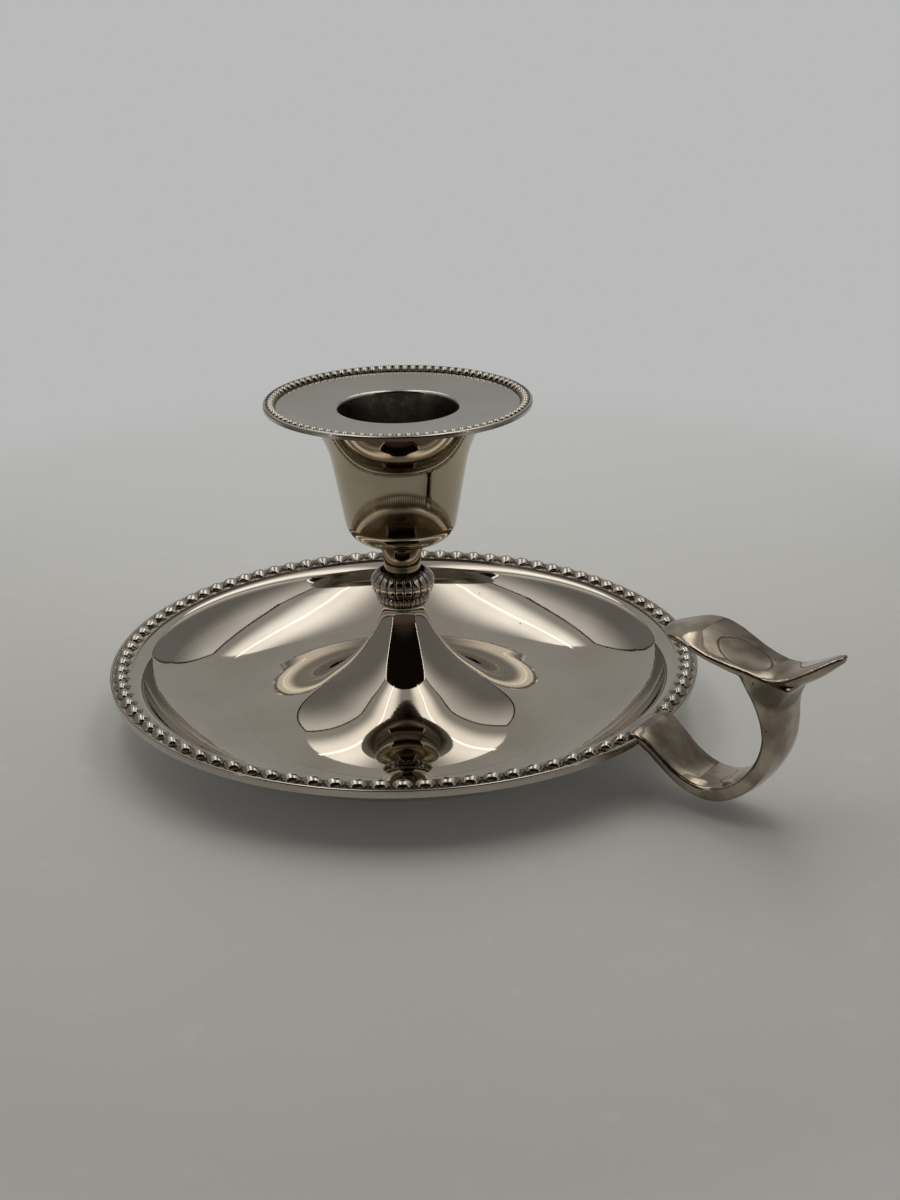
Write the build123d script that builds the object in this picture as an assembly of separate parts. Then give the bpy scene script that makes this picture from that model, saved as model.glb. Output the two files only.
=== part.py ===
from build123d import *
import os
from math import asin, atan, ceil, cos, degrees, pi, sin

# A silver-plated chamberstick: a round dish with a bead border, a trumpet stem with a ribbed
# knop, a vase-shaped candle cup, a lift-out nozzle with a wide drip pan, and a cast handle
# that loops round a finger and ends in a leaf for the thumb.
# The column axis is Z, the table is z = 0 and the handle points along +X. Millimetres.

# Dish: its wall is a hollow curve that steepens and then rounds over into the level rim
rim_radius = 65.0
rim_height = 12.9
rest_outer_radius = 38.0
dish_sheet = 0.9
rim_ledge = 4.2
kick_radius = 8.5
kick_slope = 6.5
kick_height = 3.7
# Ends of the wall's arcs: share of the way out to the ledge, share of the rise to the rim
wall_shares = [(0.746, 0.567), (0.868, 0.858), (1.0, 1.0)]

# Bead border of the dish: stamped strip with seed-shaped beads, pointed towards the middle
bead_pitch_count = 90
border_strip = 0.45
border_lip = 0.6
border_inner_edge = 0.2
bead_length = 3.8
bead_half_width = 1.85
bead_height = 1.42
# Stations of a bead: share of the length, share of the width and height
bead_shares = [(0.0, 0.12), (0.4, 0.85), (0.72, 1.0), (1.0, 0.6)]
# Corners of a bead's section: share of the half width, share of the height
bead_section_shares = [(1.0, 0.0), (0.7, 0.56), (0.26, 0.96), (-0.26, 0.96), (-0.7, 0.56), (-1.0, 0.0)]

# Trumpet stem, which flares out smoothly on to the dish's floor
trumpet_top_height = 26.0
trumpet_top_radius = 4.7
trumpet_sheet = 0.8
foot_margin = 2.0
foot_taper = 6.0
foot_edge = 0.12
# Ends of the stem's arcs above the foot: share of the way out to the foot, share of the rise
trumpet_shares = [(0.022, 0.856), (0.335, 0.329), (0.46, 0.213)]

# Tie bolt, washer and nut that hold the column together
bolt_radius = 1.9
bolt_play = 0.15
bolt_head_radius = 3.4
bolt_head_height = 1.8
bolt_end = 0.5
screw_slot_width = 0.8
screw_slot_depth = 0.8
washer_radius = 5.0
washer_thickness = 0.5
nut_across_flats = 7.0
nut_height = 2.0

# Ribbed knop
knop_height = 7.6
knop_radius = 7.0
knop_end_radius = 4.9
knop_crease_share = 0.36
upper_rib_count = 22
lower_rib_count = 30
rib_depth = 0.75
rib_notch_share = 0.36
crease_depth = 0.45

# Neck between the knop and the cup
neck_height = 7.6
neck_radius = 4.0
neck_top_radius = 5.9
neck_straight_height = 1.4

# Candle cup: a round turn above the flat base, a steep cone and a flared lip
cup_height = 28.6
cup_sheet = 0.7
cup_base_radius = 9.2
cup_turn_radius = 12.1
cup_turn_height = 3.9
cup_cone_radius = 14.5
cup_cone_height = 17.4
cup_lip_radius = 20.4

# Lift-out nozzle
nozzle_seat_gap = 0.15
nozzle_sheet = 0.6
pan_radius = 28.5
pan_rise = 1.2
throat_roll = 2.3
candle_radius = 11.25
candle_depth = 19.2
nozzle_floor = 0.7

# Bead border of the drip pan
pan_border_width = 2.7
pan_border_height = 1.0
pan_border_lip = 0.55
pan_border_lip_height = 0.45
pan_border_crown_share = 0.5
pan_bead_count = 92
pan_bead_gap = 0.55

# Handle: the looped band and the leaf, outlines in the plane of the handle
handle_lap = 2.5
handle_seat_gap = 0.05
band_end_width = 14.0
band_thickness = 3.0
band_bevel_share = 0.16
band_flat_share = 0.6
band_side_share = 0.22
loop_reach = 32.0
loop_drop = 7.15
loop_rise = 18.3
# Each station of the band: reach share, height as a share of the drop (down) or of the rise
# (up), share of the end's width, share of the band's thickness, direction in degrees
band_shares = [
    (0.000, 0.02, 1.00, 0.95, -10.0),
    (0.090, -0.04, 0.96, 0.93, -26.0),
    (0.190, -0.38, 0.91, 0.91, -36.0),
    (0.302, -0.77, 0.88, 0.98, -27.0),
    (0.430, -1.03, 0.86, 1.12, -10.0),
    (0.560, -1.07, 0.84, 1.25, 9.0),
    (0.700, -0.83, 0.83, 1.28, 31.0),
    (0.824, -0.32, 0.82, 1.27, 49.0),
    (0.902, 0.11, 0.81, 1.25, 66.0),
    (0.935, 0.37, 0.81, 1.25, 86.0),
    (0.924, 0.61, 0.83, 1.40, 96.0),
    (0.907, 0.785, 0.85, 1.95, 93.0),
    (0.900, 0.930, 0.86, 2.90, 90.0),
    (0.900, 1.060, 0.86, 4.00, 90.0),
]
leaf_length = 37.1
leaf_start = 2.4
leaf_width = 16.6
leaf_thickness = 3.2
leaf_edge_share = 0.38
leaf_crown = 0.9
leaf_height = 20.2
leaf_lift = 6.0
# Each station of the leaf: share of the length, share of the lift above the leaf's lowest
# edge, share of the width, share of the thickness
leaf_shares = [
    (0.000, 0.63, 0.24, 0.38),
    (0.026, 0.64, 0.48, 0.47),
    (0.073, 0.68, 0.71, 0.60),
    (0.151, 0.75, 0.89, 0.69),
    (0.256, 0.65, 1.00, 0.75),
    (0.360, 0.43, 0.96, 0.84),
    (0.465, 0.23, 0.83, 1.00),
    (0.570, 0.07, 0.735, 1.00),
    (0.674, 0.01, 0.71, 1.00),
    (0.778, 0.23, 0.63, 1.00),
    (0.883, 0.62, 0.45, 0.90),
    (0.948, 0.87, 0.28, 0.70),
    (1.000, 1.00, 0.12, 0.40),
]

# Solder fillet that joins the handle's end to the border
solder_width = 12.0
solder_reach = 2.0
solder_height = 1.0

# Heights that follow from the sizes above
border_top = rim_height + border_strip
bead_ring_radius = rim_radius - border_lip - bead_length
floor_top = dish_sheet
kick_top = kick_height + dish_sheet
trumpet_top = trumpet_top_height
knop_top = trumpet_top + knop_height
neck_top = knop_top + neck_height
cup_lip = neck_top + cup_height
bolt_hole_radius = bolt_radius + bolt_play
cut_overrun = 1.0


def turned(outline):
    """A closed outline of radii and heights, turned into a solid about the column axis."""
    return revolve(Plane.XZ * make_face(outline), Axis.Z)


def arc_chain(points, heading, inset=0):
    """Arcs through the points, each tangent to the last, moved to their right by the inset."""
    arcs = []
    along = Vector(*heading)
    for start, end in zip(points, points[1:]):
        after = TangentArc(start, end, tangent=along) % 1
        moved_start = Vector(*start) + Vector(along.Y, -along.X) * inset
        moved_end = Vector(*end) + Vector(after.Y, -after.X) * inset
        arcs.append(TangentArc(moved_start, moved_end, tangent=along))
        along = after
    return arcs


def make_dish_pan():
    """Spun saucer: raised middle over the nut, flat resting face, curved wall, level rim."""
    run = rim_radius - rim_ledge - rest_outer_radius
    rise = rim_height - dish_sheet
    wall = [(rest_outer_radius, dish_sheet)]
    for out_share, up_share in wall_shares:
        wall.append((rest_outer_radius + out_share * run, dish_sheet + up_share * rise))
    over_wall = arc_chain(wall, (1, 0))
    under_wall = arc_chain(wall, (1, 0), dish_sheet)

    def middle(lift):
        return Polyline(
            (bolt_hole_radius, kick_height + lift),
            (kick_radius, kick_height + lift),
            (kick_radius + kick_slope, lift),
            (rest_outer_radius, lift),
        )

    rim = Polyline(
        over_wall[-1] @ 1,
        (rim_radius, rim_height),
        (rim_radius, rim_height - dish_sheet),
        under_wall[-1] @ 1,
    )
    end = Line((bolt_hole_radius, kick_height), (bolt_hole_radius, kick_top))
    return turned([middle(0), middle(dish_sheet), rim, end] + over_wall + under_wall)


def make_bead():
    """One seed-shaped bead, flat below, lying along X with its point towards the column."""
    sections = []
    for length_share, swell in bead_shares:
        corners = []
        for across_share, up_share in bead_section_shares:
            corners.append((across_share * swell * bead_half_width, up_share * swell * bead_height))
        plane = Plane(origin=(length_share * bead_length, 0, 0), x_dir=(0, 1, 0), z_dir=(1, 0, 0))
        sections.append(plane * make_face(Polyline(*corners, close=True)))
    return loft(sections, ruled=True)


def make_dish_border():
    """Stamped border strip with its beads, bare where the handle is soldered on."""
    inner = bead_ring_radius - border_inner_edge
    strip = turned(Polyline(
        (inner, rim_height), (rim_radius, rim_height), (rim_radius, border_top),
        (inner, border_top), close=True,
    ))
    pitch = 360 / bead_pitch_count
    clear_angle = degrees(asin((band_end_width + bead_half_width) / 2 / rim_radius))
    first = ceil(clear_angle / pitch)
    bead = Pos(bead_ring_radius, 0, border_top) * make_bead()
    beads = []
    for index in range(first, bead_pitch_count - first + 1):
        beads.append(Rot(0, 0, index * pitch) * bead)
    return strip.fuse(*beads)


def make_trumpet_stem():
    """Spun hollow stem, flaring to a thin edge on the dish and closed flat at the top."""
    foot_radius = rest_outer_radius - foot_margin
    run = foot_radius - trumpet_top_radius
    rise = trumpet_top - floor_top
    profile = [(trumpet_top_radius, trumpet_top)]
    for out_share, up_share in trumpet_shares:
        profile.append((trumpet_top_radius + out_share * run, floor_top + up_share * rise))
    outside = arc_chain(profile + [(foot_radius, floor_top + foot_edge)], (0, -1))
    inside = arc_chain(profile, (0, -1), trumpet_sheet)
    # inside, the last arc comes down to the floor where the foot starts to thin
    foot_start = (foot_radius - foot_taper, floor_top)
    inside.append(TangentArc(inside[-1] @ 1, foot_start, tangent=inside[-1] % 1))
    foot = Polyline(foot_start, (foot_radius, floor_top), outside[-1] @ 1)
    top = Line(inside[0] @ 0, outside[0] @ 0)
    cap = ring(
        Circle(trumpet_top_radius - trumpet_sheet / 2),
        bolt_hole_radius, trumpet_top - trumpet_sheet, trumpet_sheet,
    )
    return turned([top, foot] + outside + inside) + cap


def rib_notches(radius, count, bottom, top):
    """Upright V-notches all round, which leave ribs between them."""
    half_angle = pi / count * rib_notch_share
    far = radius + rib_depth
    outline = Polyline(
        (radius - rib_depth, 0),
        (far * cos(half_angle), far * sin(half_angle)),
        (far * cos(half_angle), -far * sin(half_angle)),
        close=True,
    )
    notch = Pos(0, 0, bottom) * extrude(make_face(outline), top - bottom)
    return [Rot(0, 0, 360 / count * index) * notch for index in range(count)]


def make_knop():
    """Cast collar with two tiers of ribs, the upper ribs wider, split by a crease."""
    crease = trumpet_top + knop_crease_share * knop_height
    groove = knop_radius - crease_depth - rib_depth / 2
    half_crease = crease_depth / 2
    shoulder = (knop_radius + knop_end_radius) / 2 + crease_depth / 2
    upper_middle = (crease + knop_top) / 2
    body = turned(Polyline(
        (bolt_hole_radius, trumpet_top),
        (knop_end_radius, trumpet_top),
        (shoulder, (trumpet_top + crease) / 2),
        (knop_radius - crease_depth, crease - half_crease),
        (groove, crease),
        (knop_radius, crease + half_crease),
        (knop_radius, upper_middle),
        (shoulder, (upper_middle + knop_top) / 2),
        (knop_end_radius, knop_top),
        (bolt_hole_radius, knop_top),
        close=True,
    ))
    lower = rib_notches(knop_radius - crease_depth, lower_rib_count, trumpet_top, crease)
    upper = rib_notches(knop_radius, upper_rib_count, crease, knop_top)
    return body - lower - upper


def make_neck():
    """Turned neck that swells up to the cup's base."""
    straight_end = (neck_radius, knop_top + neck_straight_height)
    return turned([
        Line((neck_radius, knop_top), straight_end),
        TangentArc(straight_end, (neck_top_radius, neck_top), tangent=(0, 1)),
        Line((neck_top_radius, neck_top), (bolt_hole_radius, neck_top)),
        Line((bolt_hole_radius, neck_top), (bolt_hole_radius, knop_top)),
        Line((bolt_hole_radius, knop_top), (neck_radius, knop_top)),
    ])


def make_candle_cup():
    """Spun cup with a flat base, a round turn at the bottom and a flared lip."""

    def wall(inset):
        cone = Line(
            (cup_turn_radius - inset, neck_top + cup_turn_height),
            (cup_cone_radius - inset, neck_top + cup_cone_height),
        )
        base = (cup_base_radius - inset, neck_top + inset)
        lip = (cup_lip_radius - inset, cup_lip)
        turn = TangentArc(cone @ 0, base, tangent=-(cone % 0))
        flare = TangentArc(cone @ 1, lip, tangent=cone % 1)
        floor = Line(base, (bolt_hole_radius, neck_top + inset))
        return [floor, turn, cone, flare]

    lip_edge = Line((cup_lip_radius, cup_lip), (cup_lip_radius - cup_sheet, cup_lip))
    hole = Line((bolt_hole_radius, neck_top), (bolt_hole_radius, neck_top + cup_sheet))
    return turned(wall(0) + wall(cup_sheet) + [lip_edge, hole])


def pan_height(radius):
    """Height of the drip pan's upper face: level over the cup's lip, then rising outwards."""
    level = cup_lip + nozzle_seat_gap + nozzle_sheet
    out_share = max(radius - cup_lip_radius, 0) / (pan_radius - cup_lip_radius)
    return level + out_share * pan_rise


def make_nozzle():
    """Spun drip pan with a rolled throat and a closed tube for the candle."""
    level = pan_height(0)
    tube_radius = candle_radius + nozzle_sheet
    roll_bottom = level - throat_roll
    throat = candle_radius + throat_roll
    floor = level - candle_depth
    edge = pan_height(pan_radius)
    return turned([
        Line((0, floor - nozzle_floor), (tube_radius, floor - nozzle_floor)),
        Line((tube_radius, floor - nozzle_floor), (tube_radius, roll_bottom)),
        TangentArc((tube_radius, roll_bottom), (throat, level - nozzle_sheet), tangent=(0, 1)),
        Line((throat, level - nozzle_sheet), (cup_lip_radius, level - nozzle_sheet)),
        Line((cup_lip_radius, level - nozzle_sheet), (pan_radius, edge - nozzle_sheet)),
        Line((pan_radius, edge - nozzle_sheet), (pan_radius, edge)),
        Line((pan_radius, edge), (cup_lip_radius, level)),
        Line((cup_lip_radius, level), (throat, level)),
        TangentArc((throat, level), (candle_radius, roll_bottom), tangent=(-1, 0)),
        Line((candle_radius, roll_bottom), (candle_radius, floor)),
        Line((candle_radius, floor), (0, floor)),
        Line((0, floor), (0, floor - nozzle_floor)),
    ])


def make_nozzle_border():
    """Stamped border on the drip pan: a plain outer lip and a ring notched into beads."""
    inner = pan_radius - pan_border_width
    lip = pan_radius - pan_border_lip
    crown = pan_border_crown_share * (lip - inner) / 2
    inner_height = pan_height(inner)
    edge = pan_height(pan_radius)
    ring = turned(Polyline(
        (inner, inner_height),
        (pan_radius, edge),
        (pan_radius, edge + pan_border_lip_height),
        (lip, edge + pan_border_lip_height),
        (lip - crown, edge + pan_border_height),
        (inner + crown, inner_height + pan_border_height),
        (inner, inner_height + pan_border_lip_height),
        close=True,
    ))
    depth = pan_border_height - pan_border_lip_height
    notch_outline = Polyline(
        (-pan_bead_gap / 2, pan_border_height + depth),
        (0, 0),
        (pan_bead_gap / 2, pan_border_height + depth),
        close=True,
    )
    slope = degrees(atan(pan_rise / (pan_radius - cup_lip_radius)))
    start = inner - cut_overrun
    notch = extrude(Plane.YZ * make_face(notch_outline), lip - start)
    notch = Pos(start, 0, pan_height(start) + pan_border_lip_height / 2) * Rot(0, -slope, 0) * notch
    notches = [Rot(0, 0, 360 / pan_bead_count * index) * notch for index in range(pan_bead_count)]
    return ring - notches


def make_band():
    """Looped band of the handle, a loft through sections square to its path."""
    sections = []
    for reach, height, width_share, thickness_share, direction in band_shares:
        rise = loop_rise if height > 0 else loop_drop
        centre = (rim_radius - handle_lap + reach * loop_reach, 0, rim_height + height * rise)
        along = Vector(1, 0, 0).rotate(Axis.Y, -direction)
        plane = Plane(origin=centre, x_dir=(0, 1, 0), z_dir=along)
        half = width_share * band_end_width / 2
        thickness = thickness_share * band_thickness
        top = thickness / 2
        bevel = band_bevel_share * band_thickness
        side = -top + band_side_share * band_thickness
        flat = band_flat_share * half
        outline = [
            Line((-half, top - bevel), (-flat, top)),
            Line((-flat, top), (flat, top)),
            Line((flat, top), (half, top - bevel)),
            Line((half, top - bevel), (half, side)),
            ThreePointArc((half, side), (0, -top), (-half, side)),
            Line((-half, side), (-half, top - bevel)),
        ]
        sections.append(plane * make_face(outline))
    return loft(sections)


def make_leaf():
    """Leaf for the thumb, a loft along X: crowned above, hollow in the middle, tip turned up."""
    sections = []
    for length_share, lift_share, width_share, thickness_share in leaf_shares:
        centre = (
            rim_radius + leaf_start + length_share * leaf_length,
            0,
            rim_height + leaf_height + lift_share * leaf_lift,
        )
        plane = Plane(origin=centre, x_dir=(0, 1, 0), z_dir=(1, 0, 0))
        half = width_share * leaf_width / 2
        thickness = thickness_share * leaf_thickness
        edge = leaf_edge_share * thickness
        crown = width_share * leaf_crown
        outline = [
            ThreePointArc((-half, 0), (0, crown), (half, 0)),
            Line((half, 0), (half, -edge)),
            ThreePointArc((half, -edge), (0, -thickness), (-half, -edge)),
            Line((-half, -edge), (-half, 0)),
        ]
        sections.append(plane * make_face(outline))
    return loft(sections)


def make_handle():
    """One casting: the band and the leaf, notched to lap over the dish's border."""
    rim = Cylinder(
        rim_radius + handle_seat_gap, rim_height,
        align=(Align.CENTER, Align.CENTER, Align.MAX),
    )
    seat = Pos(0, 0, border_top) * rim
    return make_band() + make_leaf() - seat


def make_solder(handle):
    """Smooth mound of solder on the border, against the end of the handle."""
    mound = scale(Sphere(1), by=(solder_reach, solder_width / 2, solder_height))
    mound = Pos(rim_radius - handle_lap, 0, border_top) * mound
    below = Pos(rim_radius, 0, border_top) * Box(
        rim_radius, rim_radius, rim_height, align=(Align.CENTER, Align.CENTER, Align.MAX)
    )
    return mound - below - handle


def make_tie_bolt():
    """Slotted bolt that drops through the cup's floor and holds the whole column."""
    seat = neck_top + cup_sheet
    head = Pos(0, 0, seat) * Cylinder(
        bolt_head_radius, bolt_head_height, align=(Align.CENTER, Align.CENTER, Align.MIN)
    )
    slot = Pos(0, 0, seat + bolt_head_height - screw_slot_depth) * Box(
        bolt_head_radius * 2, screw_slot_width, bolt_head_height,
        align=(Align.CENTER, Align.CENTER, Align.MIN),
    )
    shank = Pos(0, 0, bolt_end) * Cylinder(
        bolt_radius, seat - bolt_end, align=(Align.CENTER, Align.CENTER, Align.MIN)
    )
    return head - slot + shank


def ring(outer, bore, bottom, height):
    """A flat ring or, where outer is a sketch, a prism, with a round bore."""
    section = outer - Circle(bore)
    return Pos(0, 0, bottom) * extrude(section, height)


handle = make_handle()
washer_bottom = kick_height - washer_thickness
parts = {
    "dish_pan": make_dish_pan(),
    "dish_bead_border": make_dish_border(),
    "trumpet_stem": make_trumpet_stem(),
    "knop_collar": make_knop(),
    "neck_spool": make_neck(),
    "candle_cup": make_candle_cup(),
    "nozzle": make_nozzle(),
    "nozzle_bead_border": make_nozzle_border(),
    "loop_handle": handle,
    "handle_solder": make_solder(handle),
    "tie_bolt": make_tie_bolt(),
    "clamp_washer": ring(Circle(washer_radius), bolt_hole_radius, washer_bottom, washer_thickness),
    "clamp_nut": ring(
        RegularPolygon(nut_across_flats / 2, 6, major_radius=False),
        bolt_radius, washer_bottom - nut_height, nut_height,
    ),
}

os.makedirs("parts", exist_ok=True)
for name, solid in parts.items():
    export_step(solid, f"parts/{name}.step")
    print(name, round(solid.volume), solid.is_valid)
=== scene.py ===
import math

import bpy
from mathutils import Matrix, Vector


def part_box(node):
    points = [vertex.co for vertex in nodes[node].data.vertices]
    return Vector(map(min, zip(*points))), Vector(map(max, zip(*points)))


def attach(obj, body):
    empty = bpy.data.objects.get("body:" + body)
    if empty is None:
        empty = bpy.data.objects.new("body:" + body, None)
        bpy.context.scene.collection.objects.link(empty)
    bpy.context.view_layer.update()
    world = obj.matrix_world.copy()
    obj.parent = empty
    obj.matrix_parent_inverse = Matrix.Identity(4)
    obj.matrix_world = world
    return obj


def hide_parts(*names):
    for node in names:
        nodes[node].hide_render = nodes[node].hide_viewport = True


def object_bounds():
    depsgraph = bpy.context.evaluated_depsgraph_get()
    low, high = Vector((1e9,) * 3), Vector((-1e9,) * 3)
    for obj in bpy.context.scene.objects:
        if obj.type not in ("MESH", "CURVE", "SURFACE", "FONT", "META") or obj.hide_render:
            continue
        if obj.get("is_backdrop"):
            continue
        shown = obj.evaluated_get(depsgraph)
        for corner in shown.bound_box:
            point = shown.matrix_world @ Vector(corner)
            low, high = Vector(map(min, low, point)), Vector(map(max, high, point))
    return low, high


# A silver-plated chamberstick on a pale table in a plain light tent. Metres, in the CAD frame:
# the column axis is Z, the table is z = 0 and the handle points along +X. Outlines are pairs
# of radius and height, turned about the column axis.

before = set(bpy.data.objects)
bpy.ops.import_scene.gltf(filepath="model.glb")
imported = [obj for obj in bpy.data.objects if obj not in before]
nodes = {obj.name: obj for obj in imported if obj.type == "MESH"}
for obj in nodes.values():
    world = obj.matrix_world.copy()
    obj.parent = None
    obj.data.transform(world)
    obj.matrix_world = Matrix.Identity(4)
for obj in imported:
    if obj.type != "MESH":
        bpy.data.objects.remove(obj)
cad_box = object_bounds()
mm = 0.001

# Camera and its place in the photograph's frame
photo_azimuth = math.radians(39.0)
camera_distance = 351.5 * mm
camera_height = 168.0 * mm
camera_pan = -0.0294
camera_tilt = 0.384
camera_roll = -0.016
camera_near = 10.0 * mm
lens_mm = 51.4
sensor_mm = 36.0

# Fineness of the turned pieces
turn_segments = 240
arc_steps = 24
short_arc_steps = 8
sharp_angle = math.radians(32.0)

# Dish: its wall is a hollow curve that steepens and then rounds over into the level rim
rim_radius = 65.0 * mm
rim_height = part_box("dish_pan")[1].z
rest_radius = 38.0 * mm
dish_sheet = 0.9 * mm
rim_ledge = 4.2 * mm
kick_radius = 8.5 * mm
kick_slope = 6.5 * mm
kick_height = 3.7 * mm
bolt_hole_radius = 2.05 * mm
# Ends of the wall's arcs: share of the way out to the ledge, share of the rise to the rim
wall_shares = ((0.746, 0.567), (0.868, 0.858), (1.0, 1.0))

# Bead border of the dish
border_strip = 0.45 * mm
border_top = rim_height + border_strip
border_lip = 0.6 * mm
border_inner_edge = 0.2 * mm
bead_length = 3.8 * mm
bead_half_width = 2.02 * mm
bead_height = 1.35 * mm
bead_lean = 1.2
bead_tip_share = 0.06
bead_fullness = 0.7
# Shares of a bead's length between which its gaps are darkened with tarnish and painted shade, and of
# its height up to which they are
bead_gap_shares = (0.25, 0.85)
bead_tarnish_and_shade_share = 0.45
bead_pitch_count = 90
bare_bead_count = 3
bead_rows = 14
bead_sides = 12

# Trumpet stem, which flares out smoothly on to the dish's floor
trumpet_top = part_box("trumpet_stem")[1].z
trumpet_top_radius = 4.7 * mm
trumpet_sheet = 0.8 * mm
foot_margin = 2.0 * mm
foot_taper = 6.0 * mm
foot_edge = 0.02 * mm
# Ends of the stem's arcs above the foot: share of the way out to the foot, share of the rise
trumpet_shares = ((0.022, 0.856), (0.335, 0.329), (0.46, 0.213))

# Ribbed knop
knop_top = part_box("knop_collar")[1].z
knop_radius = 7.0 * mm
knop_end_radius = 4.9 * mm
knop_crease_share = 0.36
knop_lower_trim = 1.1 * mm
upper_rib_count = 22
lower_rib_count = 30
rib_depth = 0.75 * mm
# How boxy a tier is from below and a rib is across, and how dark the tarnish and painted shade make the
# grooves and the tiers' ends
tier_fullness = 0.65
rib_flatness = 5
rib_fullness = 0.45
groove_tarnish_and_shade = 1.2
tier_end_tarnish_and_shade = 0.7
knop_segments = 660
knop_rows = 20

# Neck
neck_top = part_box("neck_spool")[1].z
neck_radius = 4.0 * mm
neck_top_radius = 5.9 * mm
neck_straight_height = 1.4 * mm

# Candle cup
cup_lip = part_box("candle_cup")[1].z
cup_sheet = 0.7 * mm
cup_base_radius = 9.2 * mm
cup_turn_radius = 12.1 * mm
cup_turn_height = 3.9 * mm
cup_cone_radius = 14.5 * mm
cup_cone_height = 17.4 * mm
cup_lip_radius = 20.4 * mm

# Lift-out nozzle
nozzle_seat_gap = 0.15 * mm
nozzle_sheet = 0.6 * mm
pan_radius = 28.5 * mm
pan_rise = 1.2 * mm
throat_roll = 2.3 * mm
throat_turn = 0.8 * mm
throat_depth = 7.0 * mm
candle_radius = 11.25 * mm
candle_depth = 19.2 * mm
nozzle_floor = 0.7 * mm
# Darkness of the painted shade inside the candle socket
socket_shade_darkness = 0.65

# Bead border of the drip pan
pan_border_width = 2.7 * mm
pan_border_height = 1.0 * mm
pan_border_strip = 0.135 * mm
pan_border_lip = 0.55 * mm
pan_border_lip_height = 0.45 * mm
pan_lip_margin = 0.055 * mm
pan_lip_tarnish = 0.1
# Share of the beads' height up to which tarnish and painted shade darken the gaps
pan_tarnish_and_shade_share = 0.5
pan_bead_count = 92
pan_bead_lean = 1.0
pan_bead_fill = 0.94
pan_bead_rows = 8
pan_bead_sides = 8

# Solder mound and the handle's surface
solder_width = 12.0 * mm
solder_reach = 2.0 * mm
solder_height = 1.0 * mm
solder_sides = 48
solder_rows = 12
handle_lap = 2.5 * mm
cast_voxel = 0.3 * mm
cast_smoothing = 12
cast_smoothing_share = 0.5

# Silver finish: scales of its noise per metre, and the shares of the noise where it acts
plate_cloud_scale = 55.0
cast_cloud_scale = 150.0
cloud_range = (0.35, 0.68)
speck_scale = 330.0
speck_patch_scale = 420.0
speck_patch_range = (0.5, 0.75)
speck_reach = 0.16
speck_color = (0.09, 0.075, 0.06)
tarnish_and_shade_scale = 700.0
tarnish_and_shade_unevenness = 0.5
# Colour of tarnish, of stains and of painted shade in hollows, gaps and under the handle's leaf
tarnish_and_shade_color = (0.075, 0.058, 0.045)
tarnish_and_shade_roughness = 0.45
turning_scale = 4200.0
wave_scale = 110.0
cast_waves = 0.25 * mm
spun_waves = 0.02 * mm
# Least and greatest roughness, as shares of a metal's own
dull_spread = (0.75, 1.5)
dull_scale = 140.0
dull_range = (0.3, 0.8)
# Hairlines are noise stretched along one direction
hairline_turn = (0.3, 0.2, 0.6)
hairline_scale = (60.0, 2600.0, 2600.0)
hairline_share = 0.5
hairline_strength = 0.06
hairline_depth = 0.04 * mm

# Finish of solder, bolt, washer and nut
metal_cloud_scale = 300.0
metal_range = (0.3, 0.7)
metal_dull_scale = 500.0
metal_dull_spread = (0.8, 1.3)
metal_grain_scale = 2500.0
metal_grain_strength = 0.2
metal_grain_depth = 0.05 * mm

# Stains and painted shade of the handle: centre, reach along each axis, darkness inside and along the
# outline
joint_stain = ((61.5 * mm, 0.0, 13.3 * mm), (4.5 * mm, 8.5 * mm, 4.0 * mm), 0.6, 0.0)
leaf_stain = ((84.5 * mm, -1.5 * mm, 35.2 * mm), (6.5 * mm, 4.2 * mm, 3.5 * mm), 0.45, 0.85)
# Painted shade under the leaf, with some tarnish
under_leaf_shade_and_tarnish = ((92.0 * mm, 0.0, 30.0 * mm), (5.5 * mm, 9.5 * mm, 4.5 * mm), 0.75, 0.0)
# Painted shade of a casting pore, which the mesh has no hollow for
casting_pore_shade = ((71.7 * mm, 3.0 * mm, 35.5 * mm), (1.2 * mm, 0.8 * mm, 2.0 * mm), 0.9, 0.0)
stain_and_shade_scale = 260.0
stain_and_shade_unevenness = 0.4
# Shares of the reach between which each oval of stain and painted shade fades, where its outline lies,
# and the outline's fade
stain_and_shade_fade = (0.95, 1.25)
stain_and_shade_outline = 1.2
outline_fade = (0.02, 0.09)

# Light tent, turned to face the camera: its walls, the dark seams between them and its lamps
tent_half_width = 235 * mm
tent_front = -158 * mm
tent_back = 420 * mm
tent_height = 405 * mm
tent_seam = 14 * mm
strip_width = 6 * mm
roof_strip_offset = 115 * mm
tent_color = (1.0, 0.975, 0.94)
# Strengths of the light: walls at their foot and top, the rear, the roof beside and between lamps
wall_foot_light = 0.2
wall_top_light = 0.85
rear_light = 0.4
roof_light = 0.42
roof_lamp_glow = 1.7
lamp_light = 3.0
# Heights between which a wall brightens, and how far the glow round a roof lamp reaches
wall_fade = (170 * mm, 400 * mm)
roof_fade = (20 * mm, 90 * mm)
# Dark room round the tent, which only reflections show: its colour, its light low down and high
# up, the heights between which it fades, and its distance from the tent
room_color = (1.0, 0.7, 0.55)
low_room_light = 0.1
high_room_light = 0.006
room_fade = (30 * mm, 130 * mm)
room_gap = 12 * mm

# Table: its colours, and for its blotches and flecks the noise's scale, detail, range and share
floor_half_size = 6.0
floor_roughness = 0.55
floor_color = (0.74, 0.74, 0.695)
blotch_color = (0.8, 0.8, 0.765)
fleck_color = (0.84, 0.84, 0.81)
blotch_noise = (9.0, 5.0)
blotch_ramp = (0.42, 0.75, 0.0, 0.5)
fleck_noise = (90.0, 6.0)
fleck_ramp = (0.62, 0.72, 0.0, 0.35)
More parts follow.
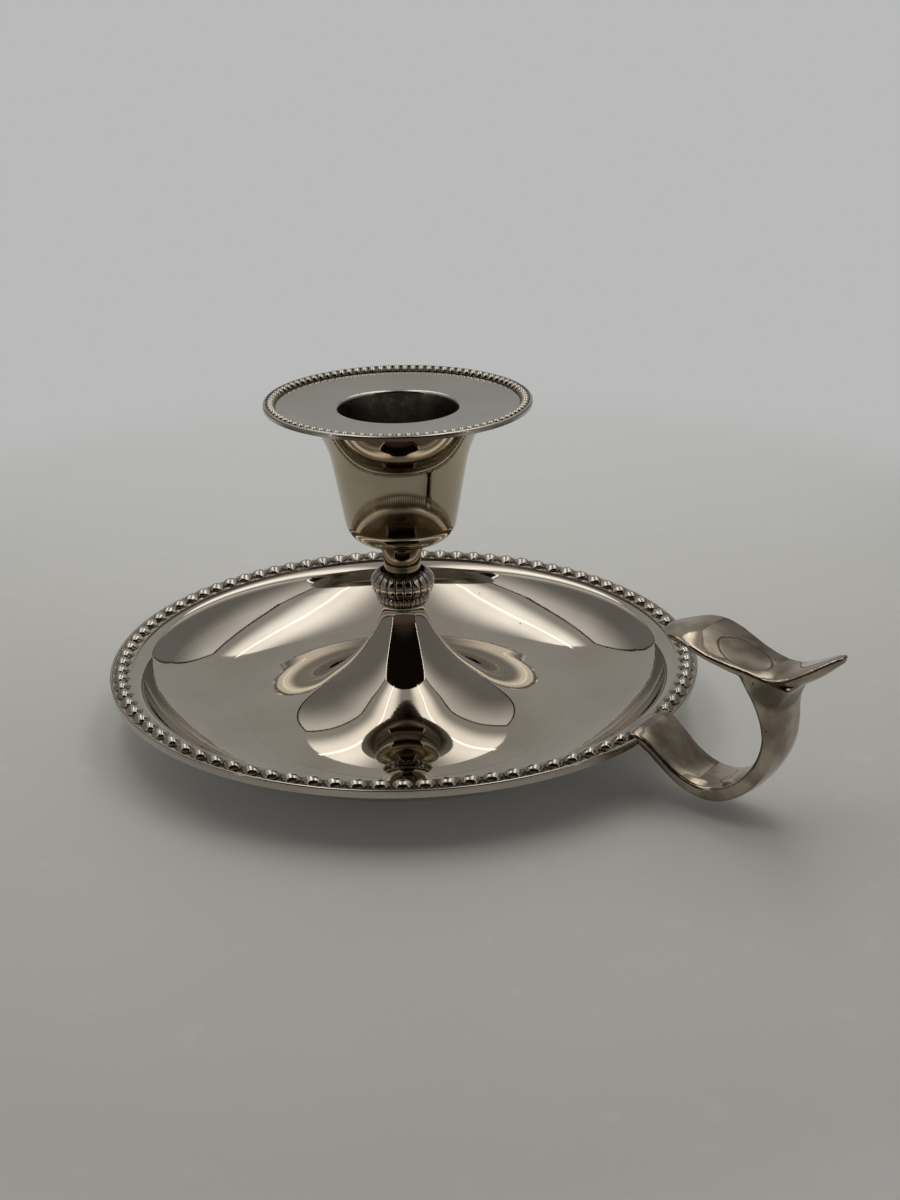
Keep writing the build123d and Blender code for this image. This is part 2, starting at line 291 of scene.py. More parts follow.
# Where the table starts and ends blending into the backdrop, behind the column and all round,
# and the share of the backdrop's light that the whole table shows
blend_behind = (-0.05, 0.35)
blend_around = (0.13, 0.28)
blend_share = 0.08
backdrop_color = (0.485, 0.49, 0.485)


def link(name, vertices, faces, material):
    """A smooth-shaded mesh object with sharp edges only at real corners."""
    mesh = bpy.data.meshes.new(name)
    mesh.from_pydata([tuple(v) for v in vertices], [], faces)
    mesh.validate()
    mesh.shade_smooth()
    mesh.set_sharp_from_angle(angle=sharp_angle)
    mesh.materials.append(material)
    piece = bpy.data.objects.new(name, mesh)
    bpy.context.scene.collection.objects.link(piece)
    return piece


def arc(start, heading, end, steps=arc_steps):
    """Points after start on the arc that leaves it along heading and reaches end."""
    chord = Vector(end) - Vector(start)
    heading = Vector(heading).normalized()
    swing = math.atan2(heading.cross(chord), heading.dot(chord))
    points = []
    for step in range(1, steps + 1):
        part = swing * step / steps
        length = chord.length * math.sin(part) / math.sin(swing)
        direction = Matrix.Rotation(part, 2) @ heading
        points.append(tuple(Vector(start) + direction * length))
    return points


def arc_heading(start, heading, end):
    """The heading with which that arc arrives at its end."""
    chord = Vector(end) - Vector(start)
    heading = Vector(heading).normalized()
    swing = math.atan2(heading.cross(chord), heading.dot(chord))
    return Matrix.Rotation(2 * swing, 2) @ heading


def arc_chain(points, heading, inset=0.0):
    """Arcs through the points, each tangent to the last, moved to their right by the inset."""
    path = []
    along = Vector(heading).normalized()
    for start, end in zip(points, points[1:]):
        after = arc_heading(start, along, end)
        moved_start = Vector(start) + Vector((along.y, -along.x)) * inset
        moved_end = Vector(end) + Vector((after.y, -after.x)) * inset
        if not path:
            path.append(tuple(moved_start))
        path += arc(moved_start, along, moved_end)
        along = after
    return path


def turned(outline, segments=turn_segments):
    """Vertices and faces of a closed outline turned about the column axis."""
    vertices = []
    faces = []
    count = len(outline)
    for segment in range(segments):
        angle = math.tau * segment / segments
        for radius, height in outline:
            vertices.append((radius * math.cos(angle), radius * math.sin(angle), height))
    for segment in range(segments):
        here = segment * count
        there = (segment + 1) % segments * count
        for index in range(count):
            after = (index + 1) % count
            if outline[index][0] == 0 and outline[after][0] == 0:
                continue
            faces.append((here + index, there + index, there + after, here + after))
    return vertices, faces


def grid_patch(surface, columns, rows):
    """Vertices and faces of an open patch, from a function of two shares from 0 to 1."""
    vertices = []
    faces = []
    for row in range(rows + 1):
        for column in range(columns + 1):
            vertices.append(surface(column / columns, row / rows))
    for row in range(rows):
        for column in range(columns):
            corner = row * (columns + 1) + column
            above = corner + columns + 1
            faces.append((corner, corner + 1, above + 1, above))
    return vertices, faces


def joined(parts):
    """Several lists of vertices and faces as one."""
    vertices = []
    faces = []
    for part_vertices, part_faces in parts:
        offset = len(vertices)
        vertices += part_vertices
        faces += [tuple(index + offset for index in face) for face in part_faces]
    return vertices, faces


def spun(part, angle):
    """The same vertices and faces, turned about the column axis."""
    turn = Matrix.Rotation(angle, 3, "Z")
    return [tuple(turn @ Vector(v)) for v in part[0]], part[1]


def add_tarnish_and_shade(piece, amount):
    """Stores, for each vertex, how deep it lies in the tarnish and painted shade, from 0 clean to 1
    dark.
    """
    layer = piece.data.attributes.new("tarnish_and_shade", "FLOAT", "POINT")
    for index, vertex in enumerate(piece.data.vertices):
        layer.data[index].value = min(max(amount(vertex.co), 0.0), 1.0)


def place(piece, body, slot, *replaced):
    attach(piece, body)
    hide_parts(*replaced)


# Materials

def plug(tree, value, socket):
    """Links another node's socket to this one, or sets this one to a plain value."""
    if isinstance(value, bpy.types.NodeSocket):
        tree.links.new(value, socket)
    else:
        socket.default_value = value


def node(tree, kind, **inputs):
    """A new shader node, with its inputs set to values or linked to sockets."""
    made = tree.nodes.new(kind)
    for name, value in inputs.items():
        plug(tree, value, made.inputs[name.replace("_", " ")])
    return made


def ramp(tree, factor, low, high, low_value=0.0, high_value=1.0):
    """Factor mapped from low..high to the two values, clamped and smoothed."""
    mapped = node(tree, "ShaderNodeMapRange", Value=factor, From_Min=low, From_Max=high)
    mapped.interpolation_type = "SMOOTHSTEP"
    mapped.inputs["To Min"].default_value = low_value
    mapped.inputs["To Max"].default_value = high_value
    return mapped.outputs["Result"]


def operation_node(tree, kind, operation, values):
    """A math or vector math node that works on the values or sockets."""
    made = tree.nodes.new(kind)
    made.operation = operation
    for socket, value in zip(made.inputs, values):
        plug(tree, value, socket)
    return made


def math_node(tree, operation, *values):
    return operation_node(tree, "ShaderNodeMath", operation, values).outputs["Value"]


def vector_node(tree, operation, *values):
    return operation_node(tree, "ShaderNodeVectorMath", operation, values).outputs["Vector"]


def length_of(tree, vector):
    return operation_node(tree, "ShaderNodeVectorMath", "LENGTH", [vector]).outputs["Value"]


def mixed(tree, factor, first, second):
    """Two colours, as values or sockets, mixed by a factor."""
    mix = node(tree, "ShaderNodeMix", Factor=factor)
    mix.data_type = "RGBA"
    # The node has inputs for numbers and vectors before those for colours
    for socket, value in ((mix.inputs[6], first), (mix.inputs[7], second)):
        plain = not isinstance(value, bpy.types.NodeSocket)
        plug(tree, (*value, 1.0) if plain else value, socket)
    return mix.outputs[2]


def mixed_shaders(tree, factor, first, second):
    mix = tree.nodes.new("ShaderNodeMixShader")
    for socket, value in zip(mix.inputs, (factor, first, second)):
        plug(tree, value, socket)
    return mix.outputs["Shader"]


def noise(tree, coordinates, scale, detail=3.0):
    made = node(tree, "ShaderNodeTexNoise", Vector=coordinates, Scale=scale, Detail=detail)
    return made.outputs["Fac"]


def new_material(name):
    material = bpy.data.materials.new(name)
    material.use_nodes = True
    tree = material.node_tree
    shader = tree.nodes["Principled BSDF"]
    coordinates = tree.nodes.new("ShaderNodeTexCoord").outputs["Object"]
    return material, tree, shader, coordinates


def oval_stain_and_shade(tree, coordinates, centre, reach, inside, outline):
    """Darkness of an uneven oval, which serves for stains and for painted shade: even inside it, and
    often darker along its outline.
    """
    offset = vector_node(tree, "SUBTRACT", coordinates, centre)
    length = length_of(tree, vector_node(tree, "DIVIDE", offset, reach))
    uneven = math_node(tree, "MULTIPLY", noise(tree, coordinates, stain_and_shade_scale), stain_and_shade_unevenness)
    far = math_node(tree, "ADD", length, uneven)
    middle = ramp(tree, far, *stain_and_shade_fade, inside, 0.0)
    from_edge = math_node(tree, "ABSOLUTE", math_node(tree, "SUBTRACT", far, stain_and_shade_outline))
    edge = ramp(tree, from_edge, *outline_fade, outline, 0.0)
    return math_node(tree, "MAXIMUM", middle, edge)


def turning_marks(tree, coordinates):
    """Height of the fine rings that turning leaves round the column axis."""
    parts = node(tree, "ShaderNodeSeparateXYZ", Vector=coordinates).outputs
    square = math_node(tree, "MULTIPLY", parts["X"], parts["X"])
    total = math_node(tree, "MULTIPLY_ADD", parts["Y"], parts["Y"], square)
    radius = math_node(tree, "SQRT", total)
    rings = node(tree, "ShaderNodeCombineXYZ", X=radius, Z=parts["Z"])
    return noise(tree, rings.outputs["Vector"], turning_scale, detail=2.0)


def dulled(tree, factor, factor_range, roughness, spread):
    """Roughness that the factor varies, within the range, between two shares of itself."""
    least, greatest = (roughness * share for share in spread)
    return ramp(tree, factor, *factor_range, least, greatest)


def silver(
    name, tint, shade, roughness, spots=0.5, turning=0.0, tarnish_and_shade=None, stains_and_shade=(), waves=0.0,
    cloud_scale=plate_cloud_scale,
):
    """Silver plate: cloudy tint, dark specks, hairline scratches and, where asked, turning marks round
    the axis, tarnish and painted shade from the mesh's own layer, stains and painted shade in ovals,
    and a wavy finish."""
    material, tree, shader, coordinates = new_material(name)
    shader.inputs["Metallic"].default_value = 1.0

    cloud = noise(tree, coordinates, cloud_scale)
    color = mixed(tree, ramp(tree, cloud, *cloud_range), tint, shade)

    specks = node(tree, "ShaderNodeTexVoronoi", Vector=coordinates, Scale=speck_scale)
    patches = noise(tree, coordinates, speck_patch_scale, detail=1.0)
    speck_size = ramp(tree, patches, *speck_patch_range, 0.0, speck_reach * spots)
    speck = math_node(tree, "LESS_THAN", specks.outputs["Distance"], speck_size)
    color = mixed(tree, speck, color, speck_color)

    # Darkening from the mesh's layer and from ovals: tarnish and real stains, and painted shade in
    # hollows, gaps and under the handle's leaf
    dark = None
    if tarnish_and_shade is not None:
        layer = node(tree, "ShaderNodeAttribute")
        layer.attribute_name = "tarnish_and_shade"
        uneven = noise(tree, coordinates, tarnish_and_shade_scale)
        stored = layer.outputs["Fac"]
        depth = math_node(tree, "MULTIPLY_ADD", uneven, tarnish_and_shade_unevenness, stored)
        dark = ramp(tree, depth, *tarnish_and_shade)
    for darkening in stains_and_shade:
        darkened = oval_stain_and_shade(tree, coordinates, *darkening)
        dark = darkened if dark is None else math_node(tree, "MAXIMUM", dark, darkened)
    if dark is not None:
        color = mixed(tree, dark, color, tarnish_and_shade_color)

    tree.links.new(color, shader.inputs["Base Color"])

    dull = dulled(tree, noise(tree, coordinates, dull_scale), dull_range, roughness, dull_spread)
    if dark is not None:
        dull = math_node(tree, "MAXIMUM", dull, math_node(tree, "MULTIPLY", dark, tarnish_and_shade_roughness))
    tree.links.new(dull, shader.inputs["Roughness"])

    stretch = node(
        tree, "ShaderNodeMapping", Vector=coordinates, Rotation=hairline_turn, Scale=hairline_scale
    )
    hairlines = noise(tree, stretch.outputs["Vector"], scale=1.0)
    height = math_node(tree, "MULTIPLY", hairlines, hairline_share)
    if turning:
        marks = turning_marks(tree, coordinates)
        height = math_node(tree, "MULTIPLY_ADD", marks, turning, height)
    bump = node(
        tree, "ShaderNodeBump", Height=height, Strength=hairline_strength, Distance=hairline_depth
    )
    if waves:
        swell = noise(tree, coordinates, wave_scale, detail=1.0)
        swells = node(tree, "ShaderNodeBump", Height=swell, Strength=1.0, Distance=waves)
        tree.links.new(swells.outputs["Normal"], bump.inputs["Normal"])
    tree.links.new(bump.outputs["Normal"], shader.inputs["Normal"])
    return material


def plain_metal(name, tint, shade, roughness):
    """Turned or soft metal without plate: cloudy tint and a fine grain."""
    material, tree, shader, coordinates = new_material(name)
    shader.inputs["Metallic"].default_value = 1.0
    cloud = noise(tree, coordinates, metal_cloud_scale)
    color = mixed(tree, ramp(tree, cloud, *metal_range), tint, shade)
    tree.links.new(color, shader.inputs["Base Color"])
    factor = noise(tree, coordinates, metal_dull_scale)
    dull = dulled(tree, factor, metal_range, roughness, metal_dull_spread)
    tree.links.new(dull, shader.inputs["Roughness"])
    grain = noise(tree, coordinates, metal_grain_scale)
    bump = node(
        tree, "ShaderNodeBump", Height=grain, Strength=metal_grain_strength,
        Distance=metal_grain_depth,
    )
    tree.links.new(bump.outputs["Normal"], shader.inputs["Normal"])
    return material


# Pieces

def dish_outline():
    """Closed outline of the dish's sheet: under face outwards, over face back inwards."""
    run = rim_radius - rim_ledge - rest_radius
    rise = rim_height - dish_sheet
    wall = [(rest_radius, dish_sheet)]
    for out_share, up_share in wall_shares:
        wall.append((rest_radius + out_share * run, dish_sheet + up_share * rise))
    level = (1.0, 0.0)
    middle = [(bolt_hole_radius, kick_height), (kick_radius, kick_height)]
    middle.append((kick_radius + kick_slope, 0.0))
    under = middle + arc_chain(wall, level, dish_sheet)
    under += [(rim_radius, rim_height - dish_sheet), (rim_radius, rim_height)]
    over = [(radius, height + dish_sheet) for radius, height in middle] + arc_chain(wall, level)
    return under + over[::-1]


def bead(start, length, half_width, height, lean):
    """Upper half of a bead along X. Its widest place leans outwards, away from a pointed tip."""
    def surface(along, round_share):
        full = math.sin(math.pi * along ** lean) ** bead_fullness
        swell = bead_tip_share + (1 - bead_tip_share) * full
        angle = math.pi * round_share
        across = half_width * swell * math.cos(angle)
        return (start[0] + along * length, across, start[1] + height * swell * math.sin(angle))
    return surface


def dish_border(material):
    inner = rim_radius - border_lip - bead_length
    lip_start = rim_radius - border_lip
    dark_start, dark_end = (inner + share * bead_length for share in bead_gap_shares)
    strip = [(inner - border_inner_edge, border_top), (inner - border_inner_edge, rim_height)]
    strip += [(rim_radius, rim_height), (rim_radius, border_top)]
    strip += arc((rim_radius, border_top), (0.0, 1.0), (lip_start, border_top), short_arc_steps)
    strip += [(dark_end, border_top), (dark_start, border_top)]
    surface = bead((inner, border_top), bead_length, bead_half_width, bead_height, bead_lean)
    one = grid_patch(surface, bead_rows, bead_sides)
    first = (bare_bead_count + 1) // 2
    parts = [turned(strip)]
    for index in range(first, bead_pitch_count - first + 1):
        parts.append(spun(one, math.tau * index / bead_pitch_count))
    piece = link("dish_beads", *joined(parts), material)

    # Tarnish and painted shade in the gaps between beads, darkest down at the strip
    def depth(point):
        radius = math.hypot(point.x, point.y)
        if radius < dark_start - border_inner_edge or radius > dark_end + border_inner_edge:
            return 0.0
        return 1.0 - (point.z - border_top) / (bead_height * bead_tarnish_and_shade_share)

    add_tarnish_and_shade(piece, depth)
    return piece


def trumpet_outline():
    foot_radius = rest_radius - foot_margin
    run = foot_radius - trumpet_top_radius
    rise = trumpet_top - dish_sheet
    profile = [(trumpet_top_radius, trumpet_top)]
    for out_share, up_share in trumpet_shares:
        profile.append((trumpet_top_radius + out_share * run, dish_sheet + up_share * rise))
    down = (0.0, -1.0)
    foot = (foot_radius, dish_sheet + foot_edge)
    outside = arc_chain(profile + [foot], down)
    inside = [(bolt_hole_radius, trumpet_top), (bolt_hole_radius, trumpet_top - trumpet_sheet)]
    inside += arc_chain(profile, down, trumpet_sheet)
    inside += [(foot_radius - foot_taper, dish_sheet), (foot_radius, dish_sheet)]
    return inside + outside[::-1]


def knop(material):
    """Collar with two tiers of boxy, rounded ribs, the upper ribs wider, darkened in the grooves and at
    the tiers' ends by tarnish and painted shade.
    """
    crease = trumpet_top + knop_crease_share * (knop_top - trumpet_top)
    tiers = (
        (trumpet_top, crease, knop_radius - knop_lower_trim, lower_rib_count),
        (crease, knop_top, knop_radius, upper_rib_count),
    )
    parts = []
    depths = []
    for bottom, top, widest, ribs in tiers:
        low_end = knop_end_radius if bottom == trumpet_top else widest - rib_depth
        high_end = knop_end_radius if top == knop_top else widest - rib_depth

        def surface(around, up):
            end = low_end if up < 0.5 else high_end
            swell = math.sin(math.pi * up) ** tier_fullness
            off_centre = abs(2 * (around * ribs % 1) - 1)
            lobe = (1 - off_centre ** rib_flatness) ** rib_fullness
            radius = end + (widest - end) * swell - rib_depth * (1 - lobe) * swell
            # Tarnish and painted shade in the grooves and towards each tier's ends
            depths.append((1 - lobe) * groove_tarnish_and_shade + (1 - swell) * tier_end_tarnish_and_shade)
            angle = math.tau * around
            height = bottom + (top - bottom) * up
            return (radius * math.cos(angle), radius * math.sin(angle), height)

        parts.append(grid_patch(surface, knop_segments, knop_rows))
    piece = link("knop", *joined(parts), material)
    layer = piece.data.attributes.new("tarnish_and_shade", "FLOAT", "POINT")
    layer.data.foreach_set("value", [min(depth, 1.0) for depth in depths])
    return piece


def neck_outline():
    straight_end = (neck_radius, knop_top + neck_straight_height)
    outside = [(neck_radius, knop_top), straight_end]
    outside += arc(straight_end, (0.0, 1.0), (neck_top_radius, neck_top))
    return outside + [(bolt_hole_radius, neck_top), (bolt_hole_radius, knop_top)]


def cup_wall(inset):
    """The cup's wall from its base to its lip, moved inwards by the inset."""
    low = Vector((cup_turn_radius - inset, neck_top + cup_turn_height))
    high = Vector((cup_cone_radius - inset, neck_top + cup_cone_height))
    along = (high - low).normalized()
    base = (cup_base_radius - inset, neck_top + inset)
    turn = [tuple(low)] + arc(low, -along, base, arc_steps // 2)
    return turn[::-1] + [tuple(high)] + arc(high, along, (cup_lip_radius - inset, cup_lip))


def cup_outline():
    outside = [(bolt_hole_radius, neck_top)] + cup_wall(0.0)
    inside = [(bolt_hole_radius, neck_top + cup_sheet)] + cup_wall(cup_sheet)
    return outside + inside[::-1]


def pan_height(radius):
    """Height of the drip pan's upper face."""
    level = cup_lip + nozzle_seat_gap + nozzle_sheet
    return level + max(radius - cup_lip_radius, 0.0) / (pan_radius - cup_lip_radius) * pan_rise


def nozzle_outline():
    level = pan_height(0.0)
    tube = candle_radius + nozzle_sheet
    throat = candle_radius + throat_roll
    funnel = level - throat_depth
    floor = level - candle_depth
    edge = pan_height(pan_radius)
    turn = (throat - throat_turn, level - throat_turn)
    under = [(0.0, floor - nozzle_floor), (tube, floor - nozzle_floor), (tube, funnel)]
    under += [(turn[0] + nozzle_sheet, turn[1] - nozzle_sheet), (throat, level - nozzle_sheet)]
    under += [(cup_lip_radius, level - nozzle_sheet), (pan_radius, edge - nozzle_sheet)]
    over = [(pan_radius, edge), (cup_lip_radius, level), (throat, level)]
    over += arc((throat, level), (-1.0, 0.0), turn, short_arc_steps)
    return under + over + [(candle_radius, funnel), (candle_radius, floor), (0.0, floor)]


def socket_shade(point):
    """Painted shade: the socket is dull and dark inside, below the throat's rounded edge."""
    depth = pan_height(0.0) - point.z
    if depth < throat_turn / 2 or depth > candle_depth + nozzle_floor / 2:
        return 0.0
    down_share = min(max((depth - throat_turn) / (throat_depth - throat_turn), 0.0), 1.0)
    wall = candle_radius + (throat_roll - throat_turn) * (1 - down_share)
    outside = math.hypot(point.x, point.y) > wall + nozzle_sheet / 2
    if outside and depth > throat_turn:
        return 0.0
    return socket_shade_darkness


def pan_border(material):
    inner = pan_radius - pan_border_width
    lip = pan_radius - pan_border_lip
    edge = pan_height(pan_radius)
    start = (inner, pan_height(inner) + pan_border_strip)
    outline = [(inner, pan_height(inner)), (pan_radius, edge)]
    outline += arc((pan_radius, edge), (0.0, 1.0), (lip, edge + pan_border_lip_height), short_arc_steps)
    outline += [(lip, edge + pan_border_strip), start]
    strip = turned(outline)
    half_width = math.pi * (inner + lip) / 2 / pan_bead_count * pan_bead_fill
    height = pan_border_height - pan_border_strip
    surface = bead(start, lip - inner, half_width, height, pan_bead_lean)
    slope = pan_rise / (pan_radius - cup_lip_radius)

    def sloped(along, round_share):
        x, y, z = surface(along, round_share)
        return (x, y, z + (x - inner) * slope)

    one = grid_patch(sloped, pan_bead_rows, pan_bead_sides)
    parts = [strip]
    for index in range(pan_bead_count):
        parts.append(spun(one, math.tau * index / pan_bead_count))
    piece = link("pan_beads", *joined(parts), material)

    # Tarnish and painted shade in the gaps between beads, darkest down at the strip; an even light
    # tarnish on the lip
    def depth(point):
        radius = math.hypot(point.x, point.y)
        if radius > lip + pan_lip_margin:
            return pan_lip_tarnish
        rise = point.z - pan_height(radius) - pan_border_strip
        return 1.0 - rise / (pan_border_height * pan_tarnish_and_shade_share)

    add_tarnish_and_shade(piece, depth)
    return piece


def solder_mound(material):
    """Smooth mound on the border, against the handle's end."""
    centre = (rim_radius - handle_lap, border_top)

    def surface(around, up):
        angle = math.tau * around
        spread = math.cos(math.pi / 2 * up)
        x = centre[0] + solder_reach * spread * math.cos(angle)
        y = solder_width / 2 * spread * math.sin(angle)
        return (x, y, centre[1] + solder_height * math.sin(math.pi / 2 * up))

    return link("solder_mound", *grid_patch(surface, solder_sides, solder_rows), material)


dish_silver = silver(
    "dish_silver", (0.52, 0.48, 0.42), (0.47, 0.43, 0.37), 0.045, waves=spun_waves
)
trumpet_silver = silver(
    "trumpet_silver", (0.51, 0.465, 0.395), (0.45, 0.405, 0.34), 0.04, spots=0.25, waves=spun_waves
)
cup_silver = silver(
    "cup_silver", (0.465, 0.405, 0.3), (0.4, 0.345, 0.255), 0.05, spots=0.25, waves=spun_waves
)
neck_silver = silver("neck_silver", (0.32, 0.26, 0.18), (0.24, 0.19, 0.13), 0.07, turning=0.5)
pan_silver = silver(
    "pan_silver", (0.49, 0.475, 0.43), (0.44, 0.425, 0.38), 0.13, spots=0.7, turning=0.6,
    tarnish_and_shade=(0.4, 1.3),
)
border_silver = silver(
    "border_silver", (0.52, 0.485, 0.425), (0.42, 0.385, 0.33), 0.12, tarnish_and_shade=(0.85, 1.3)
)
knop_silver = silver("knop_silver", (0.5, 0.45, 0.37), (0.4, 0.35, 0.28), 0.08, tarnish_and_shade=(0.5, 1.0))
# Handle: real stains at the joint and on the leaf, painted shade under the leaf and in a casting pore
handle_silver = silver(
    "handle_silver", (0.47, 0.41, 0.325), (0.24, 0.2, 0.15), 0.085, spots=0.6, waves=cast_waves,
    stains_and_shade=(joint_stain, leaf_stain, under_leaf_shade_and_tarnish, casting_pore_shade), cloud_scale=cast_cloud_scale,
)
solder_metal = plain_metal("solder_metal", (0.42, 0.4, 0.37), (0.3, 0.28, 0.25), 0.3)
bolt_metal = plain_metal("bolt_metal", (0.42, 0.4, 0.37), (0.3, 0.28, 0.26), 0.35)
nut_metal = plain_metal("nut_metal", (0.5, 0.4, 0.24), (0.38, 0.29, 0.17), 0.35)

dish = link("dish", *turned(dish_outline()), dish_silver)
place(dish, "base", "plated_dish", "dish_pan")
beads = dish_border(border_silver)
place(beads, "base", "tarnished_border", "dish_bead_border")
trumpet = link("trumpet", *turned(trumpet_outline()), trumpet_silver)
place(trumpet, "base", "plated_column", "trumpet_stem")
place(knop(knop_silver), "base", "tarnished_knop", "knop_collar")
neck = link("neck", *turned(neck_outline()), neck_silver)
place(neck, "base", "plated_column", "neck_spool")
cup = link("cup", *turned(cup_outline()), cup_silver)
place(cup, "base", "plated_column", "candle_cup")
drip_pan = link("drip_pan", *turned(nozzle_outline()), pan_silver)
# Painted shade inside the candle socket
add_tarnish_and_shade(drip_pan, socket_shade)
place(drip_pan, "nozzle", "plated_nozzle", "nozzle")
place(pan_border(border_silver), "nozzle", "tarnished_border", "nozzle_bead_border")
place(solder_mound(solder_metal), "base", "solder", "handle_solder")

handle = nodes["loop_handle"]
handle.data.materials.clear()
handle.data.materials.append(handle_silver)
melt = handle.modifiers.new("cast", "REMESH")
melt.mode = "VOXEL"
melt.voxel_size = cast_voxel
melt.use_smooth_shade = True
soften = handle.modifiers.new("soften", "SMOOTH")
soften.factor = cast_smoothing_share
soften.iterations = cast_smoothing

for name, metal in (("tie_bolt", bolt_metal), ("clamp_washer", nut_metal), ("clamp_nut", nut_metal)):
    nodes[name].data.materials.clear()
    nodes[name].data.materials.append(metal)


# Table, light tent and camera

def tent_axes(tree):
    """Where a point lies in the tent: X across it, Y away from the camera, Z up."""
    coordinates = tree.nodes.new("ShaderNodeTexCoord").outputs["Object"]
    turn = node(tree, "ShaderNodeMapping", Vector=coordinates, Rotation=(0.0, 0.0, -photo_azimuth))
    return node(tree, "ShaderNodeSeparateXYZ", Vector=turn.outputs["Vector"]).outputs


def in_view(tree):
    """1 for what the view shows, also mirrored in metal, and 0 for light on its way to a surface."""
    path = tree.nodes.new("ShaderNodeLightPath").outputs
    mirrored = math_node(tree, "MAXIMUM", path["Is Glossy Ray"], path["Is Transmission Ray"])
    return math_node(tree, "MAXIMUM", path["Is Camera Ray"], mirrored)


def even_light(strength):
    return lambda tree: strength


def room_light(tree):
    """The dark room is a little lighter low down."""
    return ramp(tree, tent_axes(tree)["Z"], *room_fade, low_room_light, high_room_light)


def wall_light(tree):
    """A side wall brightens towards its top."""
    return ramp(tree, tent_axes(tree)["Z"], *wall_fade, wall_foot_light, wall_top_light)


def roof_glow(tree):
    """The roof is brightest round its two lamps."""
    across = math_node(tree, "ABSOLUTE", tent_axes(tree)["X"])
    off_lamp = math_node(tree, "ABSOLUTE", math_node(tree, "SUBTRACT", across, roof_strip_offset))
    return ramp(tree, off_lamp, *roof_fade, roof_lamp_glow, roof_light)


def glow(name, color, light):
    """A glowing material, whose strength comes from a function of its node tree."""
    material = bpy.data.materials.new(name)
    material.use_nodes = True
    tree = material.node_tree
    tree.nodes.clear()
    emission = node(tree, "ShaderNodeEmission", Color=(*color, 1.0), Strength=light(tree))
    node(tree, "ShaderNodeOutputMaterial", Surface=emission.outputs["Emission"])
    return material


tent_turn = Matrix.Rotation(photo_azimuth, 4, "Z")


def panel(name, corners, material):
    """A flat stage panel that lights and is reflected, but that the camera doesn't see."""
    piece = link(name, [tent_turn @ Vector(corner) for corner in corners], [(0, 1, 2, 3)], material)
    piece.visible_camera = False
    piece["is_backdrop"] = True
    return piece


def side_wall(x, near, far, bottom, top):
    """Corners of an upright rectangle along the tent."""
    return [(x, near, bottom), (x, far, bottom), (x, far, top), (x, near, top)]


def level_sheet(left, right, near, far, height):
    """Corners of a level rectangle."""
    return [(left, near, height), (right, near, height), (right, far, height), (left, far, height)]


def build_tent():
    wall = glow("tent_wall", tent_color, wall_light)
    back = glow("tent_back", tent_color, even_light(rear_light))
    roof = glow("tent_roof", tent_color, roof_glow)
    lamp = glow("tent_lamp", tent_color, even_light(lamp_light))
    near, far, top, seam = tent_front, tent_back, tent_height, tent_seam
    for sign, name in ((-1, "left"), (1, "right")):
        x = sign * tent_half_width
        panel(f"tent_{name}", side_wall(x, near, far - seam, seam, top - seam), wall)
        inside = sign * (tent_half_width - seam)
        panel(f"lamp_{name}", side_wall(inside, near, near + strip_width, seam, top), lamp)
        left = sign * roof_strip_offset - strip_width / 2
        strip = level_sheet(left, left + strip_width, near, far, top - seam)
        panel(f"roof_lamp_{name}", strip, lamp)
    left, right = -tent_half_width, tent_half_width
    rear = [(left, far, seam), (right, far, seam), (right, far, top), (left, far, top)]
    panel("tent_rear", rear, back)
    panel("tent_top", level_sheet(left, right, near, far, top), roof)


def build_room():
    """Dark walls and roof round the tent, which reflections show in its open front and seams."""
    room = glow("dark_room", room_color, room_light)
    side = tent_half_width + room_gap
    near = tent_front - room_gap
    far = tent_back + room_gap
    top = tent_height + room_gap
    plan = [(-side, near), (side, near), (side, far), (-side, far)]
    pieces = [panel("room_roof", [(x, y, top) for x, y in plan], room)]
    for index, (start, end) in enumerate(zip(plan, plan[1:] + plan[:1])):
        corners = [(*start, 0), (*end, 0), (*end, top), (*start, top)]
        pieces.append(panel(f"room_wall_{index}", corners, room))
    for piece in pieces:
        piece.visible_diffuse = False
        piece.visible_shadow = False


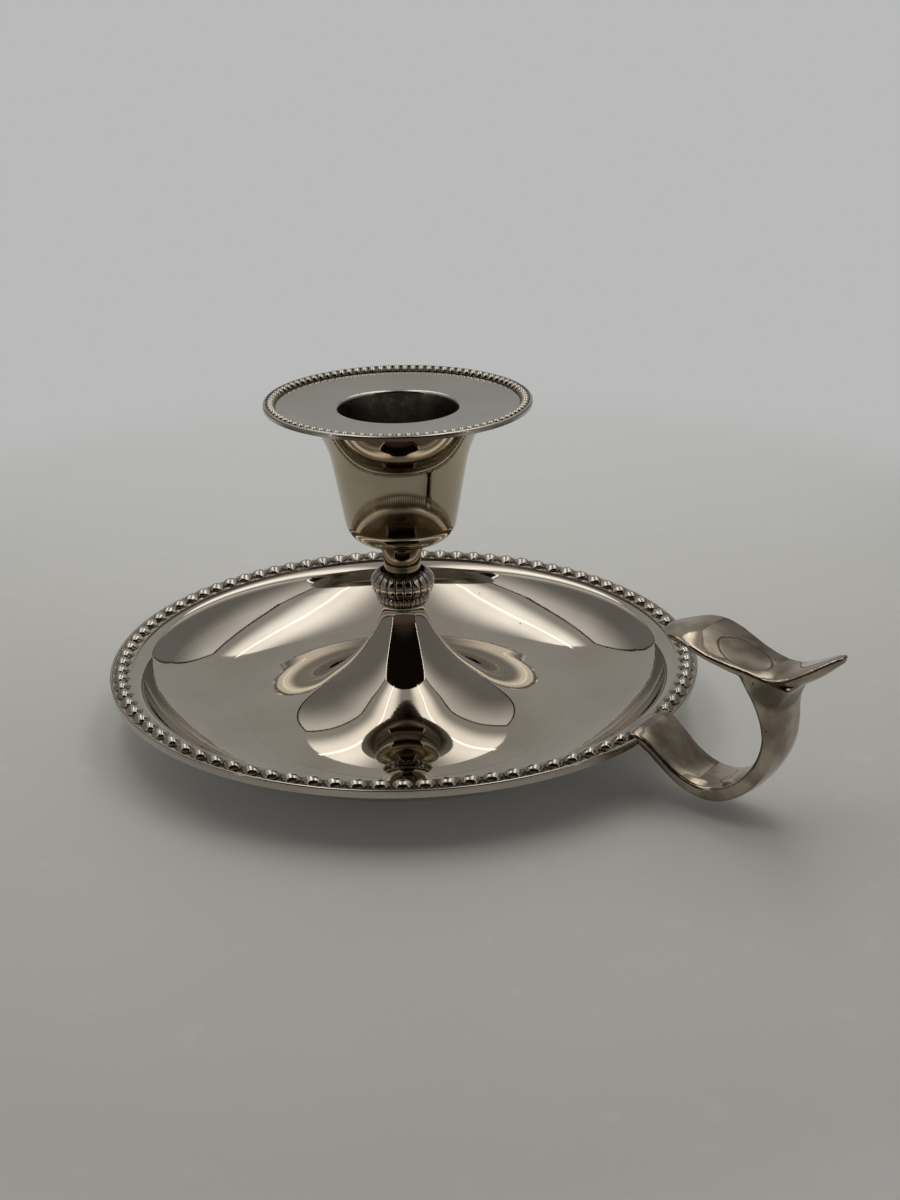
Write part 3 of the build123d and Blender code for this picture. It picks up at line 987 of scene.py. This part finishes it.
def floor_material():
    """Pale stone with faint blotches and flecks, which blends into the backdrop far behind."""
    material, tree, shader, coordinates = new_material("pale_table")
    shader.inputs["Roughness"].default_value = floor_roughness
    blotches = ramp(tree, noise(tree, coordinates, *blotch_noise), *blotch_ramp)
    color = mixed(tree, blotches, floor_color, blotch_color)
    flecks = ramp(tree, noise(tree, coordinates, *fleck_noise), *fleck_ramp)
    color = mixed(tree, flecks, color, fleck_color)
    tree.links.new(color, shader.inputs["Base Color"])

    backdrop = node(tree, "ShaderNodeEmission", Color=(*backdrop_color, 1.0), Strength=1.0)
    behind = ramp(tree, tent_axes(tree)["Y"], *blend_behind, blend_share, 1.0)
    around = ramp(tree, length_of(tree, coordinates), *blend_around)
    far = math_node(tree, "MAXIMUM", behind, around)
    share = math_node(tree, "MULTIPLY", far, in_view(tree))
    blend = mixed_shaders(tree, share, shader.outputs["BSDF"], backdrop.outputs["Emission"])
    tree.links.new(blend, tree.nodes["Material Output"].inputs["Surface"])
    return material


def build_floor():
    size = floor_half_size
    corners = level_sheet(-size, size, -size, size, 0)
    link("table", corners, [(0, 1, 2, 3)], floor_material())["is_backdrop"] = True


def build_world():
    """Pale backdrop for the view, and next to no light from it on the object."""
    world = bpy.data.worlds.new("studio")
    world.use_nodes = True
    tree = world.node_tree
    tree.nodes.clear()
    seen = node(tree, "ShaderNodeBackground", Color=(*backdrop_color, 1.0), Strength=1.0)
    dim = node(tree, "ShaderNodeBackground", Color=(*room_color, 1.0), Strength=high_room_light)
    shown = mixed_shaders(tree, in_view(tree), dim.outputs["Background"], seen.outputs["Background"])
    node(tree, "ShaderNodeOutputWorld", Surface=shown)
    bpy.context.scene.world = world


def build_camera():
    camera = bpy.data.objects.new("camera", bpy.data.cameras.new("camera"))
    camera.data.sensor_width = sensor_mm
    camera.data.lens = lens_mm
    forward = Vector((
        -math.sin(camera_pan) * math.cos(camera_tilt),
        math.cos(camera_pan) * math.cos(camera_tilt),
        -math.sin(camera_tilt),
    ))
    level = Vector((math.cos(camera_pan), math.sin(camera_pan), 0.0))
    upright = level.cross(forward)
    right = level * math.cos(camera_roll) + upright * math.sin(camera_roll)
    up = upright * math.cos(camera_roll) - level * math.sin(camera_roll)
    facing = Matrix((right, up, -forward)).transposed().to_4x4()
    stand = Matrix.Translation((0.0, -camera_distance, camera_height))
    camera.matrix_world = tent_turn @ stand @ facing
    camera.data.clip_start = camera_near
    bpy.context.scene.collection.objects.link(camera)
    bpy.context.scene.camera = camera


build_tent()
build_room()
build_floor()
build_world()
build_camera()
bpy.context.scene.view_settings.view_transform = "Standard"

boxes = {"cad": cad_box, "visual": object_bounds()}
{key: [list(corner) for corner in box] for key, box in boxes.items()}
